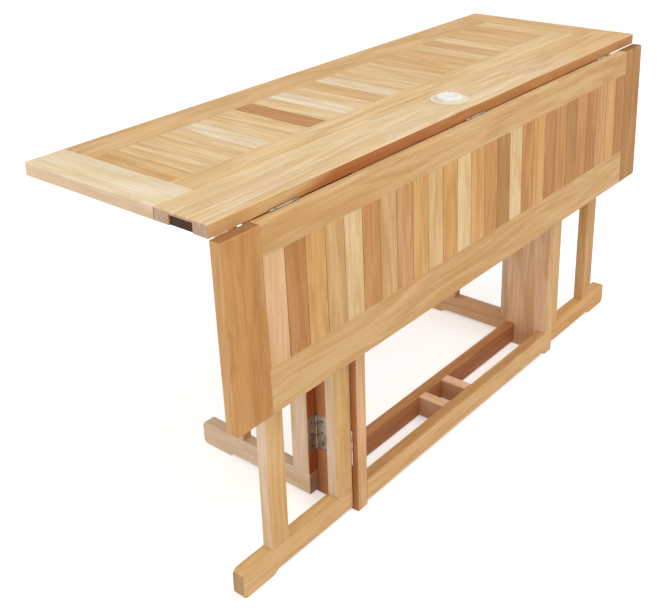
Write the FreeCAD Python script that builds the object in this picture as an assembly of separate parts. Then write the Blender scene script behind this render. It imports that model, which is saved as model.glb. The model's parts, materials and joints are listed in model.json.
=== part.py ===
import FreeCAD, Part

import math
import os

# Butterfly folding table in solid teak, in millimetres.
# X runs along the table, Y across it and Z up. The origin is on the floor, on the parasol pole's axis.
# The front leaf hangs in front of its two closed gates; the back leaf is up, on its two open gates.

# Top: one centre board with a leaf hinged to each long edge
TOP_HEIGHT = 745.0
TOP_LENGTH = 1470.0
TOP_THICKNESS = 24.0
BOARD_WIDTH = 120.0
LEAF_WIDTH = 342.0
SEAM_GAP = 2.0
HANG_TILT = 1.0  # degrees that a hanging leaf leans out from plumb
TOP_ARRIS = 2.0  # eased edges round the top faces; the undersides are left square
LEAF_CORNER_RADIUS = 6.0

# Leaf frames: two end rails over the full width, two long rails between them, cross slats in grooves
END_RAIL_WIDTH = 85.0
INNER_RAIL_WIDTH = 55.0
OUTER_RAIL_WIDTH = 87.0
RAIL_TENON_LENGTH = 45.0
RAIL_TENON_THICKNESS = 8.0
RAIL_TENON_SHOULDER = 11.0
SLAT_PITCH = 50.0
SLAT_GAP = 0.6
TONGUE_LENGTH = 10.0
TONGUE_THICKNESS = 8.0
SOCKET_PLAY = 0.5  # room left at the bottom of each groove and mortise

# Centre frame: two end planks, two top rails, two lower rails and two pole blocks
OVERHANG = 343.0  # board's end to a plank's outer face
PLANK_THICKNESS = 30.0
PLANK_WIDTH = 115.0
PLANK_TENON_THICKNESS = 12.0
PLANK_TENON_LENGTH = 12.0
PLANK_TENON_SHOULDER = 18.0
FRAME_RAIL_FACE = 57.0  # table centre to a rail's outer face
FRAME_RAIL_THICKNESS = 25.0
FRAME_RAIL_HEIGHT = 50.0
FRAME_RAIL_RAISE = 8.0
FRAME_TENON_LENGTH = 20.0
FRAME_TENON_THICKNESS = 10.0
FRAME_TENON_SHOULDER = 8.0
POLE_BLOCK_SPACE = 63.0  # clear length between the two blocks
POLE_BLOCK_WIDTH = 26.0
BLOCK_TENON_LENGTH = 10.0
BLOCK_TENON_THICKNESS = 10.0

# Hardwood bearers let into the underside of the board's overhangs
BEARER_WIDTH = 54.0
BEARER_DEPTH = 18.0
BEARER_SETBACK = 3.0

# Gates: post and leg tenoned between a foot and a top rail
GATE_FACE = 45.0  # table centre to a closed gate's outer face
GATE_THICKNESS = 25.0
GATE_GAP = 2.0
GATE_TOP_CLEARANCE = 0.3
POST_WIDTH = 46.0
LEG_OFFSET = 186.0  # gate's hinge edge to the leg's near edge
LEG_WIDTH = 45.0
FOOT_LENGTH = 310.0
FOOT_TOP = 56.0
FOOT_RAISE = 8.0
FOOT_STEP_LENGTH = 12.0
FOOT_END_RADIUS = 12.0
GATE_RAIL_HEIGHT = 45.0
GATE_TENON_LENGTH = 28.0
GATE_TENON_THICKNESS = 9.0
GATE_TENON_SHOULDER = 7.0
BAR_ARRIS = 1.5  # eased edges of planks, rails, posts and legs

# Leaf hinges: three steel butt hinges under each seam, their plates flush in the undersides of board and leaf
LEAF_HINGE_LENGTH = 68.0
LEAF_HINGE_WIDTH = 18.0
LEAF_HINGE_PLATE = 2.0
LEAF_HINGE_GAP = 1.0  # between the plates of a shut hinge
LEAF_HINGE_INSET = 166.0  # leaf's end to the middle of each outer hinge
LEAF_HINGE_PIN_RADIUS = 1.25
LEAF_HINGE_KNUCKLES = 3

# Gate hinges: two steel butt hinges let in between each gate and its plank
GATE_HINGE_LENGTH = 80.0
GATE_HINGE_WIDTH = 24.0
GATE_HINGE_PLATE = 1.5
GATE_HINGE_INSET = 147.0  # floor to the middle of the lower hinge, and underside to that of the upper one
GATE_HINGE_PIN_RADIUS = 1.2
GATE_HINGE_KNUCKLES = 3

# Hinge fits
PIN_CLEARANCE = 0.05
KNUCKLE_END_CLEARANCE = 0.2
KNUCKLE_CLEARANCE = 0.3

# Parasol ring set in the board, and its lift-out cap
POLE_HOLE_RADIUS = 25.0
RING_WALL = 2.0
RING_FIT = 0.2
RING_FLANGE_RADIUS = 40.0
RING_FLANGE_THICKNESS = 2.0
RING_DEPTH = 20.0
CAP_RADIUS = 27.0
CAP_HEIGHT = 6.5
CAP_EDGE = 2.0
CAP_PLUG_DEPTH = 12.0
CAP_CLEARANCE = 0.3

# Levels and places that follow from the sizes above
UNDERSIDE = TOP_HEIGHT - TOP_THICKNESS
TOP_MIDDLE = TOP_HEIGHT - TOP_THICKNESS / 2
LEAF_EDGE = BOARD_WIDTH / 2 + SEAM_GAP
LEAF_OUTSIDE = LEAF_EDGE + LEAF_WIDTH
SLAT_START = LEAF_EDGE + INNER_RAIL_WIDTH
SLAT_END = LEAF_OUTSIDE - OUTER_RAIL_WIDTH
FIELD_HALF = TOP_LENGTH / 2 - END_RAIL_WIDTH
LEAF_PIN_Y = BOARD_WIDTH / 2 + SEAM_GAP / 2
LEAF_PIN_HEIGHT = UNDERSIDE - LEAF_HINGE_GAP / 2
LEAF_KNUCKLE_RADIUS = LEAF_HINGE_GAP / 2 + LEAF_HINGE_PLATE
LEAF_HINGE_OFFSET = TOP_LENGTH / 2 - LEAF_HINGE_INSET
PLANK_FACE = TOP_LENGTH / 2 - OVERHANG
GATE_PIN_X = PLANK_FACE + GATE_GAP / 2
GATE_EDGE = PLANK_FACE + GATE_GAP
GATE_TOP = UNDERSIDE - GATE_TOP_CLEARANCE
LEG_END = GATE_EDGE + LEG_OFFSET + LEG_WIDTH
GATE_RAIL_LOW = GATE_TOP - GATE_RAIL_HEIGHT
GATE_HINGE_MIDDLES = (GATE_HINGE_INSET, UNDERSIDE - GATE_HINGE_INSET)

X_AXIS = FreeCAD.Vector(1, 0, 0)
Y_AXIS = FreeCAD.Vector(0, 1, 0)
Z_AXIS = FreeCAD.Vector(0, 0, 1)
ORIGIN = FreeCAD.Vector(0, 0, 0)


def box(x0, x1, y0, y1, z0, z1):
    """A block between two opposite corners."""
    return Part.makeBox(x1 - x0, y1 - y0, z1 - z0, FreeCAD.Vector(x0, y0, z0))


def edges_along(shape, direction):
    """The straight edges of a block that run in one direction."""
    return [e for e in shape.Edges if abs(e.tangentAt(e.FirstParameter).dot(direction)) > 0.999]


def eased(block, direction):
    """A block with its four long edges taken off."""
    return block.makeChamfer(BAR_ARRIS, edges_along(block, direction))


def top_arrises(slab):
    """All edges round the top face of a slab."""
    faces = [f for f in slab.Faces if f.normalAt(0, 0).z > 0.999]
    return [e for f in faces for e in f.Edges]


def mirrored(shape, x_side, y_side):
    """A shape drawn at +X, +Y, reflected to the sides given as 1 or -1."""
    if x_side < 0:
        shape = shape.mirror(ORIGIN, X_AXIS)
    if y_side < 0:
        shape = shape.mirror(ORIGIN, Y_AXIS)
    return shape


def turned(shape, centre, axis, degrees):
    """A copy of a shape, turned about an axis through a point."""
    return shape.copy().rotate(centre, axis, degrees)


def tenon_and_mortise(x0, x1, y0, y1, z0, z1, deeper):
    """A tenon block, and the mortise that takes it with some room at its bottom."""
    tenon = box(x0, x1, y0, y1, z0, z1)
    return tenon, tenon.fuse(tenon.translated(deeper)).removeSplitter()


# ---------------------------------------------------------------- butt hinges


def knuckle_spans(length, count, own):
    """Heights between which each knuckle of one plate runs: every other one along the barrel."""
    step = length / count
    first = 0 if own == "fixed" else 1
    gap = KNUCKLE_END_CLEARANCE / 2
    spans = []
    for number in range(first, count, 2):
        low = -length / 2 + number * step
        spans.append((low + gap, low + step - gap))
    return spans


def hinge_plate(length, width, plate, gap, pin_radius, count, own):
    """One plate of a butt hinge with its share of the knuckles, folded shut.

    The pin runs along Z through the origin. The fixed plate lies at -X and carries the riveted pin.
    The moving plate lies at +X, and its knuckles turn on the pin. Both plates run towards -Y.
    """
    side = -1 if own == "fixed" else 1
    knuckle_radius = gap / 2 + plate
    near, far = sorted((side * gap / 2, side * knuckle_radius))
    half = length / 2
    clear = knuckle_radius + KNUCKLE_CLEARANCE
    solid = box(near, far, -width, -clear, -half, half)
    for low, high in knuckle_spans(length, count, own):
        tall = high - low
        barrel = Part.makeCylinder(knuckle_radius, tall, FreeCAD.Vector(0, 0, low))
        solid = solid.fuse([barrel, box(near, far, -clear, 0, low, high)])
    bottom = FreeCAD.Vector(0, 0, -half)
    if own == "fixed":
        pin_end = KNUCKLE_END_CLEARANCE / 2
        pin = Part.makeCylinder(pin_radius, length - 2 * pin_end, bottom + Z_AXIS * pin_end)
        return solid.fuse(pin).removeSplitter()
    return solid.cut(Part.makeCylinder(pin_radius + PIN_CLEARANCE, length, bottom)).removeSplitter()


def hinge_gain(length, width, plate, gap, own):
    """The recess for one plate, and a square one for the barrel, with the hinge folded shut."""
    side = -1 if own == "fixed" else 1
    near, far = sorted((side * gap / 2, side * (gap / 2 + plate)))
    half = length / 2
    leaf = box(near, far, -width, 0, -half, half)
    reach = gap / 2 + plate + KNUCKLE_CLEARANCE
    end = half + KNUCKLE_CLEARANCE
    return leaf.fuse(box(-reach, reach, -reach, reach, -end, end))


def at_seam(shape, x_middle, own):
    """Lays half a hinge flat under the back seam: the fixed half in the board, the moving one in the leaf."""
    if own == "moving":
        shape = turned(shape, ORIGIN, Z_AXIS, 180)
    matrix = FreeCAD.Matrix(0, 0, 1, x_middle, 0, 1, 0, LEAF_PIN_Y, -1, 0, 0, LEAF_PIN_HEIGHT, 0, 0, 0, 1)
    return shape.transformed(matrix)


def at_gate(shape, height):
    """Stands a hinge between the back right gate, closed, and its plank."""
    return shape.translated(FreeCAD.Vector(GATE_PIN_X, GATE_FACE, height))


def leaf_hinge_places():
    """The middles of one seam's hinges along X."""
    return (-LEAF_HINGE_OFFSET, 0.0, LEAF_HINGE_OFFSET)


def leaf_hinge_plates(own):
    """The plates of the back seam's hinges in the board (fixed) or in the leaf (moving)."""
    plate = hinge_plate(
        LEAF_HINGE_LENGTH,
        LEAF_HINGE_WIDTH,
        LEAF_HINGE_PLATE,
        LEAF_HINGE_GAP,
        LEAF_HINGE_PIN_RADIUS,
        LEAF_HINGE_KNUCKLES,
        own,
    )
    return [at_seam(plate, x, own) for x in leaf_hinge_places()]


def leaf_hinge_gains(own):
    """The recesses for the plates of the back seam's hinges."""
    gain = hinge_gain(LEAF_HINGE_LENGTH, LEAF_HINGE_WIDTH, LEAF_HINGE_PLATE, LEAF_HINGE_GAP, own)
    return [at_seam(gain, x, own) for x in leaf_hinge_places()]


def gate_hinge_plates(own):
    """The plates of the back right gate's hinges on the plank (fixed) or on the gate (moving)."""
    plate = hinge_plate(
        GATE_HINGE_LENGTH,
        GATE_HINGE_WIDTH,
        GATE_HINGE_PLATE,
        GATE_GAP,
        GATE_HINGE_PIN_RADIUS,
        GATE_HINGE_KNUCKLES,
        own,
    )
    return [at_gate(plate, height) for height in GATE_HINGE_MIDDLES]


def gate_hinge_gains(own):
    """The recesses for the plates of the back right gate's hinges."""
    gain = hinge_gain(GATE_HINGE_LENGTH, GATE_HINGE_WIDTH, GATE_HINGE_PLATE, GATE_GAP, own)
    return [at_gate(gain, height) for height in GATE_HINGE_MIDDLES]


# ---------------------------------------------------------------- leaves


def leaf_blank():
    """The outline of a flat leaf at the back: rounded outer corners and eased arrises."""
    blank = box(-TOP_LENGTH / 2, TOP_LENGTH / 2, LEAF_EDGE, LEAF_OUTSIDE, UNDERSIDE, TOP_HEIGHT)
    corners = [e for e in edges_along(blank, Z_AXIS) if e.CenterOfMass.y > LEAF_EDGE + LEAF_WIDTH / 2]
    blank = blank.makeFillet(LEAF_CORNER_RADIUS, corners)
    return blank.makeChamfer(TOP_ARRIS, top_arrises(blank))


def rail_tenon(side, y0, y1):
    """The tenon on one end of a long rail, and its mortise in the end rail."""
    start = FIELD_HALF
    low = TOP_MIDDLE - RAIL_TENON_THICKNESS / 2
    high = TOP_MIDDLE + RAIL_TENON_THICKNESS / 2
    deeper = FreeCAD.Vector(SOCKET_PLAY, 0, 0)
    pair = tenon_and_mortise(start, start + RAIL_TENON_LENGTH, y0, y1, low, high, deeper)
    return [mirrored(shape, side, 1) for shape in pair]


def tenon_span(rail):
    """How far across the leaf a long rail's tenon runs, clear of the slat groove."""
    groove = TONGUE_LENGTH + SOCKET_PLAY
    if rail == "inner":
        return LEAF_EDGE + RAIL_TENON_SHOULDER, SLAT_START - groove
    return SLAT_END + groove, LEAF_OUTSIDE - RAIL_TENON_SHOULDER


def slat_groove(y_face, towards):
    """The groove along a long rail that takes the slats' tongues."""
    depth = TONGUE_LENGTH + SOCKET_PLAY
    y0, y1 = sorted((y_face, y_face + towards * depth))
    low = TOP_MIDDLE - TONGUE_THICKNESS / 2
    return box(-FIELD_HALF, FIELD_HALF, y0, y1, low, low + TONGUE_THICKNESS)


def end_rail(side):
    """The rail across one end of a leaf, mortised for both long rails."""
    rail = box(FIELD_HALF, TOP_LENGTH / 2, LEAF_EDGE, LEAF_OUTSIDE, UNDERSIDE, TOP_HEIGHT)
    rail = mirrored(rail, side, 1).common(leaf_blank())
    mortises = [rail_tenon(side, *tenon_span(name))[1] for name in ("inner", "outer")]
    return rail.cut(mortises)


def long_rail(name):
    """A rail along the leaf, grooved for the slats and tenoned at both ends."""
    if name == "inner":
        y0, y1, groove = LEAF_EDGE, SLAT_START, slat_groove(SLAT_START, -1)
    else:
        y0, y1, groove = SLAT_END, LEAF_OUTSIDE, slat_groove(SLAT_END, 1)
    rail = box(-FIELD_HALF, FIELD_HALF, y0, y1, UNDERSIDE, TOP_HEIGHT).common(leaf_blank())
    rail = rail.cut(groove)
    rail = rail.fuse([rail_tenon(side, *tenon_span(name))[0] for side in (-1, 1)])
    if name == "inner":
        rail = rail.cut(leaf_hinge_gains("moving"))
    return rail.removeSplitter()


def slat(x_middle, width):
    """One cross slat with a tongue on each end."""
    x0 = x_middle - width / 2
    x1 = x_middle + width / 2
    body = box(x0, x1, SLAT_START, SLAT_END, UNDERSIDE, TOP_HEIGHT)
    low = TOP_MIDDLE - TONGUE_THICKNESS / 2
    high = low + TONGUE_THICKNESS
    tongue = box(x0, x1, SLAT_START - TONGUE_LENGTH, SLAT_END + TONGUE_LENGTH, low, high)
    return body.fuse(tongue).removeSplitter()


def slats():
    """The slats that fill a leaf's frame, side by side at an even pitch."""
    count = round(2 * FIELD_HALF / SLAT_PITCH)
    pitch = 2 * FIELD_HALF / count
    middles = [-FIELD_HALF + (number + 0.5) * pitch for number in range(count)]
    return Part.makeCompound([slat(x, pitch - SLAT_GAP) for x in middles])


def in_place(shape, side):
    """Puts a leaf piece drawn flat at the back on its own side: up at the back, hanging at the front."""
    if side == "back":
        return shape
    centre = FreeCAD.Vector(0, -LEAF_PIN_Y, LEAF_PIN_HEIGHT)
    return turned(mirrored(shape, 1, -1), centre, X_AXIS, 90 - HANG_TILT)


def leaf(side):
    """All pieces of one leaf, with the plates of its hinges."""
    pieces = {
        "left_end_rail": end_rail(-1),
        "right_end_rail": end_rail(1),
        "inner_rail": long_rail("inner"),
        "outer_rail": long_rail("outer"),
        "slats": slats(),
        "hinge_plates": Part.makeCompound(leaf_hinge_plates("moving")),
    }
    return {f"{side}_leaf_{name}": in_place(shape, side) for name, shape in pieces.items()}


# ---------------------------------------------------------------- centre frame


def plank_tenon(side):
    """The stub tenon on top of a plank, and its mortise in the board."""
    middle = PLANK_FACE - PLANK_THICKNESS / 2
    half_thick = PLANK_TENON_THICKNESS / 2
    half_wide = PLANK_WIDTH / 2 - PLANK_TENON_SHOULDER
    pair = tenon_and_mortise(
        middle - half_thick,
        middle + half_thick,
        -half_wide,
        half_wide,
        UNDERSIDE,
        UNDERSIDE + PLANK_TENON_LENGTH,
        FreeCAD.Vector(0, 0, SOCKET_PLAY),
    )
    return [mirrored(shape, side, 1) for shape in pair]


def bearer_span():
    """Where a bearer's groove runs along the board: from the plank's face to the board's end."""
    return PLANK_FACE, TOP_LENGTH / 2


def centre_board():
    """The fixed board in the middle, holed for the parasol and let in for hinges, bearers and planks."""
    half = BOARD_WIDTH / 2
    board = box(-TOP_LENGTH / 2, TOP_LENGTH / 2, -half, half, UNDERSIDE, TOP_HEIGHT)
    board = board.makeChamfer(TOP_ARRIS, top_arrises(board))
    hole_radius = POLE_HOLE_RADIUS + RING_WALL + RING_FIT
    cuts = [Part.makeCylinder(hole_radius, TOP_THICKNESS, FreeCAD.Vector(0, 0, UNDERSIDE))]
    for gain in leaf_hinge_gains("fixed"):
        cuts += [gain, mirrored(gain, 1, -1)]
    for side in (-1, 1):
        cuts.append(plank_tenon(side)[1])
        start, end = bearer_span()
        groove = box(start, end, -BEARER_WIDTH / 2, BEARER_WIDTH / 2, UNDERSIDE, UNDERSIDE + BEARER_DEPTH)
        cuts.append(mirrored(groove, side, 1))
    return board.cut(cuts)


def board_bearer(side):
    """The hardwood bearer in the underside of one overhang."""
    start, end = bearer_span()
    half = BEARER_WIDTH / 2
    bearer = box(start, end - BEARER_SETBACK, -half, half, UNDERSIDE, UNDERSIDE + BEARER_DEPTH)
    return mirrored(bearer, side, 1)


def frame_rail(y_side, low):
    """A rail between the planks, with a tenon on each end."""
    y0 = FRAME_RAIL_FACE - FRAME_RAIL_THICKNESS
    half = PLANK_FACE - PLANK_THICKNESS
    rail = box(-half, half, y0, FRAME_RAIL_FACE, low, low + FRAME_RAIL_HEIGHT)
    rail = eased(rail, X_AXIS).fuse([frame_tenon(x_side, 1, low)[0] for x_side in (-1, 1)])
    return mirrored(rail, 1, y_side)


def frame_tenon(x_side, y_side, low):
    """The tenon on one end of a frame rail, and its mortise in the plank."""
    start = PLANK_FACE - PLANK_THICKNESS
    middle = FRAME_RAIL_FACE - FRAME_RAIL_THICKNESS / 2
    half_thick = FRAME_TENON_THICKNESS / 2
    pair = tenon_and_mortise(
        start,
        start + FRAME_TENON_LENGTH,
        middle - half_thick,
        middle + half_thick,
        low + FRAME_TENON_SHOULDER,
        low + FRAME_RAIL_HEIGHT - FRAME_TENON_SHOULDER,
        FreeCAD.Vector(SOCKET_PLAY, 0, 0),
    )
    return [mirrored(shape, x_side, y_side) for shape in pair]


def frame_rail_levels():
    """Underside of the lower and of the top rails."""
    return {"lower": FRAME_RAIL_RAISE, "top": UNDERSIDE - FRAME_RAIL_HEIGHT}


def block_tenon(x_side, y_side):
    """The tenon on one end of a pole block, and its mortise in the lower rail."""
    start = FRAME_RAIL_FACE - FRAME_RAIL_THICKNESS
    middle = (POLE_BLOCK_SPACE + POLE_BLOCK_WIDTH) / 2
    half_thick = BLOCK_TENON_THICKNESS / 2
    low = FRAME_RAIL_RAISE + FRAME_TENON_SHOULDER
    pair = tenon_and_mortise(
        middle - half_thick,
        middle + half_thick,
        start,
        start + BLOCK_TENON_LENGTH,
        low,
        FRAME_RAIL_RAISE + FRAME_RAIL_HEIGHT - FRAME_TENON_SHOULDER,
        FreeCAD.Vector(0, SOCKET_PLAY, 0),
    )
    return [mirrored(shape, x_side, y_side) for shape in pair]


def lower_rail(y_side):
    """A lower rail, mortised on its inside for the two pole blocks."""
    rail = frame_rail(y_side, frame_rail_levels()["lower"])
    return rail.cut([block_tenon(x_side, y_side)[1] for x_side in (-1, 1)])


def pole_block(x_side):
    """A cross block that steadies the parasol pole between the lower rails."""
    half = FRAME_RAIL_FACE - FRAME_RAIL_THICKNESS
    start = POLE_BLOCK_SPACE / 2
    low = FRAME_RAIL_RAISE
    block = box(start, start + POLE_BLOCK_WIDTH, -half, half, low, low + FRAME_RAIL_HEIGHT)
    block = mirrored(eased(block, Y_AXIS), x_side, 1)
    return block.fuse([block_tenon(x_side, y_side)[0] for y_side in (-1, 1)])


def end_plank(x_side):
    """An upright plank, mortised for four rails and let in for four gate hinges."""
    half = PLANK_WIDTH / 2
    plank = box(PLANK_FACE - PLANK_THICKNESS, PLANK_FACE, -half, half, 0, UNDERSIDE)
    plank = mirrored(eased(plank, Z_AXIS), x_side, 1)
    plank = plank.fuse(plank_tenon(x_side)[0])
    cuts = []
    for y_side in (-1, 1):
        cuts += [frame_tenon(x_side, y_side, low)[1] for low in frame_rail_levels().values()]
        cuts += [mirrored(gain, x_side, y_side) for gain in gate_hinge_gains("fixed")]
    return plank.cut(cuts)


# ---------------------------------------------------------------- gates


def gate_upright(x0, width):
    """A post or leg of a gate, tenoned into the foot and the top rail, and the two mortises."""
    y0 = GATE_FACE - GATE_THICKNESS
    bar = eased(box(x0, x0 + width, y0, GATE_FACE, FOOT_TOP, GATE_RAIL_LOW), Z_AXIS)
    middle = GATE_FACE - GATE_THICKNESS / 2
    half = GATE_TENON_THICKNESS / 2
    span = (x0 + GATE_TENON_SHOULDER, x0 + width - GATE_TENON_SHOULDER, middle - half, middle + half)
    play = FreeCAD.Vector(0, 0, SOCKET_PLAY)
    foot_pair = tenon_and_mortise(*span, FOOT_TOP - GATE_TENON_LENGTH, FOOT_TOP, play * -1)
    rail_pair = tenon_and_mortise(*span, GATE_RAIL_LOW, GATE_RAIL_LOW + GATE_TENON_LENGTH, play)
    return bar.fuse([foot_pair[0], rail_pair[0]]), foot_pair[1], rail_pair[1]


def gate_foot():
    """The foot: a rail raised off the floor but for a pad under its outer end, which is rounded."""
    start = GATE_EDGE
    end = GATE_EDGE + FOOT_LENGTH
    r = FOOT_END_RADIUS
    slope = r * (1 - math.sqrt(0.5))
    path = [
        (start, FOOT_TOP),
        (start, FOOT_RAISE),
        (LEG_END - FOOT_STEP_LENGTH, FOOT_RAISE),
        (LEG_END, 0),
        (end - r, 0),
    ]
    y0 = GATE_FACE - GATE_THICKNESS
    points = [FreeCAD.Vector(x, y0, z) for x, z in path]
    low_end = FreeCAD.Vector(end, y0, r)
    high_end = FreeCAD.Vector(end, y0, FOOT_TOP - r)
    last = FreeCAD.Vector(end - r, y0, FOOT_TOP)
    edges = list(Part.makePolygon(points).Edges)
    edges.append(Part.Arc(points[-1], FreeCAD.Vector(end - slope, y0, slope), low_end).toShape())
    edges.append(Part.makeLine(low_end, high_end))
    edges.append(Part.Arc(high_end, FreeCAD.Vector(end - slope, y0, FOOT_TOP - slope), last).toShape())
    edges.append(Part.makeLine(last, points[0]))
    return Part.Face(Part.Wire(edges)).extrude(Y_AXIS * GATE_THICKNESS)


def knuckle_relief():
    """The shallow cut in a gate's top edge that lets it swing under the knuckles of a leaf hinge."""
    reach = LEAF_KNUCKLE_RADIUS + KNUCKLE_CLEARANCE
    near_line = LEAF_PIN_Y - reach - GATE_FACE
    far_line = LEAF_PIN_Y + reach - GATE_FACE
    half = LEAF_HINGE_LENGTH / 2 + reach
    first = LEAF_HINGE_OFFSET - half - GATE_PIN_X
    last = LEAF_HINGE_OFFSET + half - GATE_PIN_X
    inner = math.sqrt(max(first**2 + near_line**2 - GATE_THICKNESS**2, 0))
    outer = math.hypot(last, far_line)
    low = LEAF_PIN_HEIGHT - reach
    return box(
        GATE_PIN_X + inner,
        GATE_PIN_X + outer,
        GATE_FACE - GATE_THICKNESS,
        GATE_FACE,
        low,
        GATE_TOP,
    )


def gate_top_rail():
    """The rail along the top of a gate, which carries the leaf."""
    y0 = GATE_FACE - GATE_THICKNESS
    rail = eased(box(GATE_EDGE, LEG_END, y0, GATE_FACE, GATE_RAIL_LOW, GATE_TOP), X_AXIS)
    return rail.cut(knuckle_relief())


def gate(y_side, x_side):
    """All pieces of one gate: closed at the front, swung out through a right angle at the back."""
    post, post_foot, post_rail = gate_upright(GATE_EDGE, POST_WIDTH)
    leg, leg_foot, leg_rail = gate_upright(GATE_EDGE + LEG_OFFSET, LEG_WIDTH)
    pieces = {
        "post": post.cut(gate_hinge_gains("moving")),
        "leg": leg,
        "foot": gate_foot().cut([post_foot, leg_foot]),
        "top_rail": gate_top_rail().cut([post_rail, leg_rail]),
        "hinge_plates": Part.makeCompound(gate_hinge_plates("moving")),
    }
    if y_side > 0:
        pin = FreeCAD.Vector(GATE_PIN_X, GATE_FACE, 0)
        pieces = {name: turned(shape, pin, Z_AXIS, 90) for name, shape in pieces.items()}
    label = f"{'back' if y_side > 0 else 'front'}_{'right' if x_side > 0 else 'left'}_gate"
    return {f"{label}_{name}": mirrored(shape, x_side, y_side) for name, shape in pieces.items()}


# ---------------------------------------------------------------- fixed hinge parts


def seam_hinges(side):
    """The board's hinge plates and pins along one seam."""
    y_side = 1 if side == "back" else -1
    return Part.makeCompound([mirrored(plate, 1, y_side) for plate in leaf_hinge_plates("fixed")])


def plank_hinges(x_side):
    """The plank's hinge plates and pins for the two gates at one end."""
    plates = gate_hinge_plates("fixed")
    return Part.makeCompound([mirrored(plate, x_side, y_side) for y_side in (-1, 1) for plate in plates])


# ---------------------------------------------------------------- parasol ring and cap


def parasol_ring():
    """The flanged ring that lines the hole in the board."""
    outer = POLE_HOLE_RADIUS + RING_WALL
    sleeve = Part.makeCylinder(outer, RING_DEPTH, FreeCAD.Vector(0, 0, TOP_HEIGHT - RING_DEPTH))
    flange = Part.makeCylinder(RING_FLANGE_RADIUS, RING_FLANGE_THICKNESS, FreeCAD.Vector(0, 0, TOP_HEIGHT))
    tall = RING_DEPTH + RING_FLANGE_THICKNESS
    hole = Part.makeCylinder(POLE_HOLE_RADIUS, tall, FreeCAD.Vector(0, 0, TOP_HEIGHT - RING_DEPTH))
    return sleeve.fuse(flange).cut(hole).removeSplitter()


def parasol_cap():
    """The cap that stops the hole: a lid with a bevelled rim, over a plug that drops into the ring."""
    seat = TOP_HEIGHT + RING_FLANGE_THICKNESS
    lid = Part.makeCylinder(CAP_RADIUS, CAP_HEIGHT, FreeCAD.Vector(0, 0, seat))
    rim = [e for e in lid.Edges if e.CenterOfMass.z > seat + CAP_HEIGHT / 2 and e.Closed]
    lid = lid.makeChamfer(CAP_EDGE, rim)
    foot = FreeCAD.Vector(0, 0, seat - CAP_PLUG_DEPTH)
    plug = Part.makeCylinder(POLE_HOLE_RADIUS - CAP_CLEARANCE, CAP_PLUG_DEPTH, foot)
    return lid.fuse(plug).removeSplitter()


def whole_table():
    """Every node of the table by name."""
    nodes = {"centre_board": centre_board()}
    levels = frame_rail_levels()
    for side, x_side in (("left", -1), ("right", 1)):
        nodes[f"{side}_board_bearer"] = board_bearer(x_side)
        nodes[f"{side}_end_plank"] = end_plank(x_side)
        nodes[f"{side}_pole_block"] = pole_block(x_side)
        nodes[f"{side}_plank_hinges"] = plank_hinges(x_side)
    for side, y_side in (("front", -1), ("back", 1)):
        nodes[f"{side}_lower_rail"] = lower_rail(y_side)
        nodes[f"{side}_top_rail"] = frame_rail(y_side, levels["top"])
        nodes[f"{side}_seam_hinges"] = seam_hinges(side)
        nodes.update(leaf(side))
        for x_side in (-1, 1):
            nodes.update(gate(y_side, x_side))
    nodes["parasol_ring"] = parasol_ring()
    nodes["parasol_cap"] = parasol_cap()
    return nodes


os.makedirs("parts", exist_ok=True)
for node_name, node_shape in whole_table().items():
    node_shape.exportStep(f"parts/{node_name}.step")
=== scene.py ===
import json
import math

import bmesh
import bpy
from mathutils import Matrix, Vector


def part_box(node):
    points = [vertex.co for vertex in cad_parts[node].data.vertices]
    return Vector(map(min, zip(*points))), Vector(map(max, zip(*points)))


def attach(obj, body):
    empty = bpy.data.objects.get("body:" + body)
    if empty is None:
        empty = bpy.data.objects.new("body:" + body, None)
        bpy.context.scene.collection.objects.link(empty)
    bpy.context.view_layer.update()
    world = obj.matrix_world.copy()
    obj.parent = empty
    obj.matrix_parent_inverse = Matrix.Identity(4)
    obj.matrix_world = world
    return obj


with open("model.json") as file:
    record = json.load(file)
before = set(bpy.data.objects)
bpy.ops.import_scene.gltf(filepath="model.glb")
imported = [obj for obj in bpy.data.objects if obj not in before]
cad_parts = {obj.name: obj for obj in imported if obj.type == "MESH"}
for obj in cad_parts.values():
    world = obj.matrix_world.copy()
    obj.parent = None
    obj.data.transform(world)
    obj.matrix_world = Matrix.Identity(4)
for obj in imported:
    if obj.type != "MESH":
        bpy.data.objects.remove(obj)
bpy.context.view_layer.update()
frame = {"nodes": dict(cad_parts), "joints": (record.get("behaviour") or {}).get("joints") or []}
nodes = frame["nodes"]

# ---------------------------------------------------------------- centre board
# The fixed board along the middle is one plank of plantation teak, planed, sanded and oiled.
# Its face is pale, and the redder heartwood shows in its sawn edges.


def paint(red, green, blue):
    """A colour given in display values, as the shader's linear one."""
    parts = [value / 255 for value in (red, green, blue)]
    return [p / 12.92 if p <= 0.04045 else ((p + 0.055) / 1.055) ** 2.4 for p in parts] + [1.0]


def put(tree, kind, wired, **settings):
    """Adds a node. Each entry of wired joins an input to a socket, or sets its plain value."""
    node = tree.nodes.new(kind)
    for name, value in settings.items():
        setattr(node, name, value)
    for key, value in wired.items():
        if isinstance(value, bpy.types.NodeSocket):
            tree.links.new(value, node.inputs[key])
        else:
            node.inputs[key].default_value = value
    return node


def sums(tree, operation, *terms):
    """One Math node's result."""
    return put(tree, "ShaderNodeMath", dict(enumerate(terms)), operation=operation).outputs[0]


def vectors(tree, operation, *terms):
    """One Vector Math node's result."""
    return put(tree, "ShaderNodeVectorMath", dict(enumerate(terms)), operation=operation).outputs[0]


def ease(tree, value, start, end):
    """A value that rises smoothly from 0 to 1 between two others."""
    wired = {"Value": value, "From Min": start, "From Max": end}
    return put(tree, "ShaderNodeMapRange", wired, interpolation_type="SMOOTHSTEP").outputs[0]


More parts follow.
